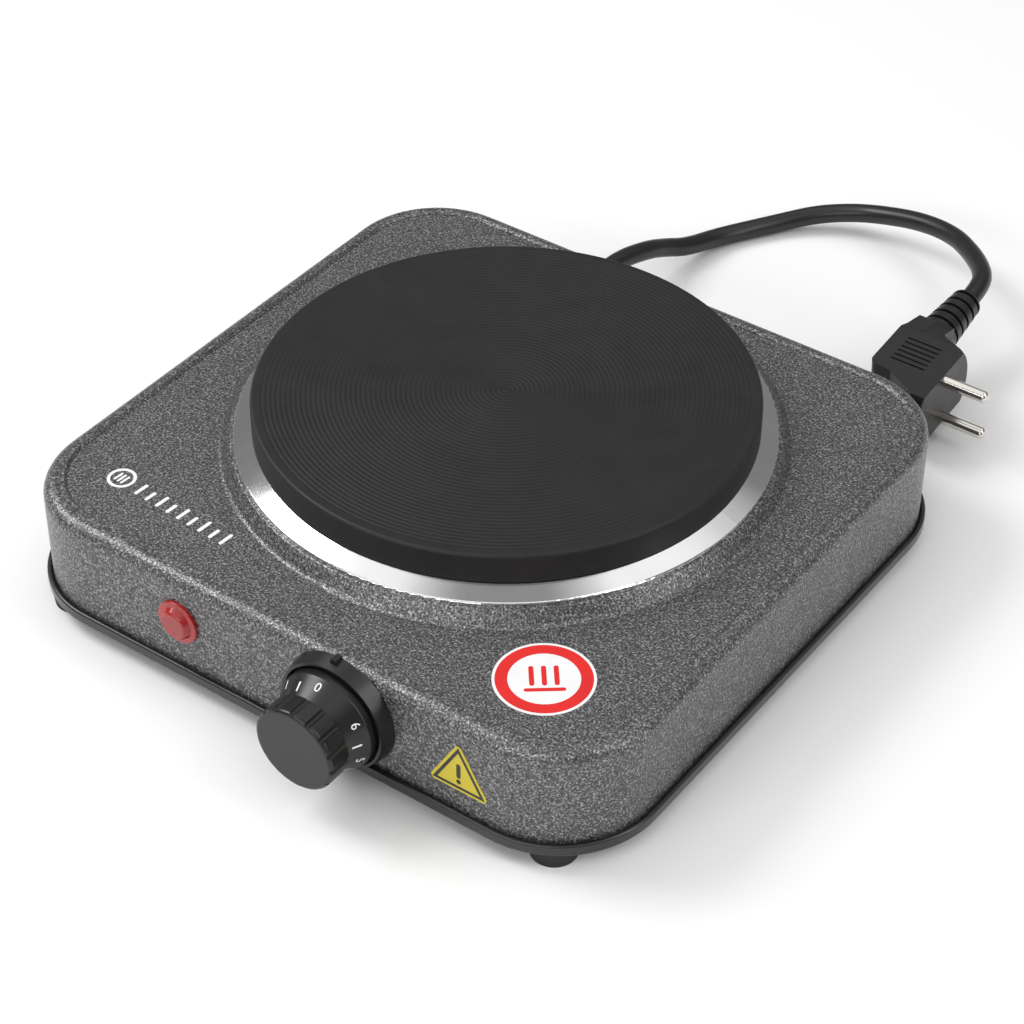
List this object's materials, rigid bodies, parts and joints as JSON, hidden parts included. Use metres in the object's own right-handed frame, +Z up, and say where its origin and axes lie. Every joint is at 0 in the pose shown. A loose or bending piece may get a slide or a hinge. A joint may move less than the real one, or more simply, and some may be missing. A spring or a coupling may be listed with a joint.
{
  "type": "hot plate burner",
  "caption": "Portable electric hot plate: cast iron cooking disc in a spill ring on a low square housing, with a thermostat knob, signal lamp and supply cord.",
  "frame": {"origin": "middle of the object's footprint without its cord, on the surface its rubber feet stand on", "axes": "+Z up, -Y is the front with the knob and lamp, +X to the right as seen from the front"},
  "size_m": [0.26, 0.4261, 0.07],
  "materials": {
    "hammertone_coat": "grey hammertone powder coat on steel",
    "black_enamel": "satin black enamel",
    "rubber_black": "moulded rubber",
    "zinc_steel": "zinc plated steel",
    "stainless": "polished stainless steel",
    "cast_iron": "blackened, turned rings",
    "resistance_wire": "oxidised nickel chrome",
    "insulating_powder": "pressed magnesia",
    "mineral_pad": "mineral fibre pad",
    "ceramic": "unglazed steatite",
    "brass": "plain brass",
    "knob_black": "moulded phenolic, satin",
    "terminal_plastic": "natural nylon",
    "lens_red": "clear red polycarbonate",
    "bulb_glass": "clear glass",
    "pvc_black": "smooth rubber sheath",
    "wire_brown": "insulated wire",
    "wire_blue": "insulated wire",
    "wire_green": "insulated wire",
    "wire_white": "glass fibre sleeved wire",
    "pin_nickel": "nickel plated brass",
    "label_white": null,
    "label_yellow": null
  },
  "bodies": {
    "root": {"top_housing": "hammertone_coat", "base_pan": "black_enamel", "rubber_feet": "rubber_black", "foot_screws": "zinc_steel", "corner_plates": "zinc_steel", "trim_ring": "stainless", "hot_plate": "cast_iron", "heating_coils": "resistance_wire", "channel_filler": "insulating_powder", "insulation_pad": "mineral_pad", "plate_shield": "zinc_steel", "clamp_bridge": "zinc_steel", "centre_stud": "zinc_steel", "stud_washer": "zinc_steel", "stud_nut": "zinc_steel", "plate_connector": "ceramic", "plate_terminals": "brass", "knob_bezel": "knob_black", "thermostat_plate": "zinc_steel", "thermostat_case": "ceramic", "thermostat_screws": "zinc_steel", "lever_pivot_pin": "zinc_steel", "fixed_contact": "brass", "thermostat_terminals": "brass", "lamp_lens": "lens_red", "neon_bulb": "bulb_glass", "lamp_clip": "zinc_steel", "cord_gland": "rubber_black", "cord_tail": "pvc_black", "gland_lock_ring": "zinc_steel", "clamp_saddle": "terminal_plastic", "clamp_strap": "zinc_steel", "clamp_screws": "zinc_steel", "terminal_block": "terminal_plastic", "terminal_screws": "zinc_steel", "live_conductor": "wire_brown", "neutral_conductor": "wire_blue", "earth_conductor": "wire_green", "live_lead": "wire_brown", "switched_lead": "wire_white", "neutral_lead": "wire_blue", "earth_lead": "wire_green", "earth_screw": "brass", "lamp_lead_live": "wire_brown", "lamp_lead_neutral": "wire_blue", "supply_cord": "pvc_black", "plug_body": "pvc_black", "plug_pins": "pin_nickel", "round_label": "label_white", "triangle_label": "label_yellow"},
    "knob": {"control_knob": "knob_black", "knob_spring_clip": "zinc_steel", "control_shaft": "zinc_steel", "thermostat_cam": "terminal_plastic"},
    "lever": {"contact_lever": "brass", "moving_contact": "brass"}
  },
  "joints": [
    {"name": "knob_turn", "type": "hinge", "parent": "root", "child": "knob", "pos_m": [0.028, -0.1233, 0.0305], "axis": [0, 1, 0], "range_deg": [0, 300]},
    {"name": "lever_swing", "type": "hinge", "parent": "root", "child": "lever", "pos_m": [0.015, -0.1133, 0.03715], "axis": [0, -1, 0], "range_deg": [0, 4.1]}
  ],
  "couplings": [
    {"joint": "lever_swing", "follows": "knob_turn", "ratio": 0.013222}
  ]
}
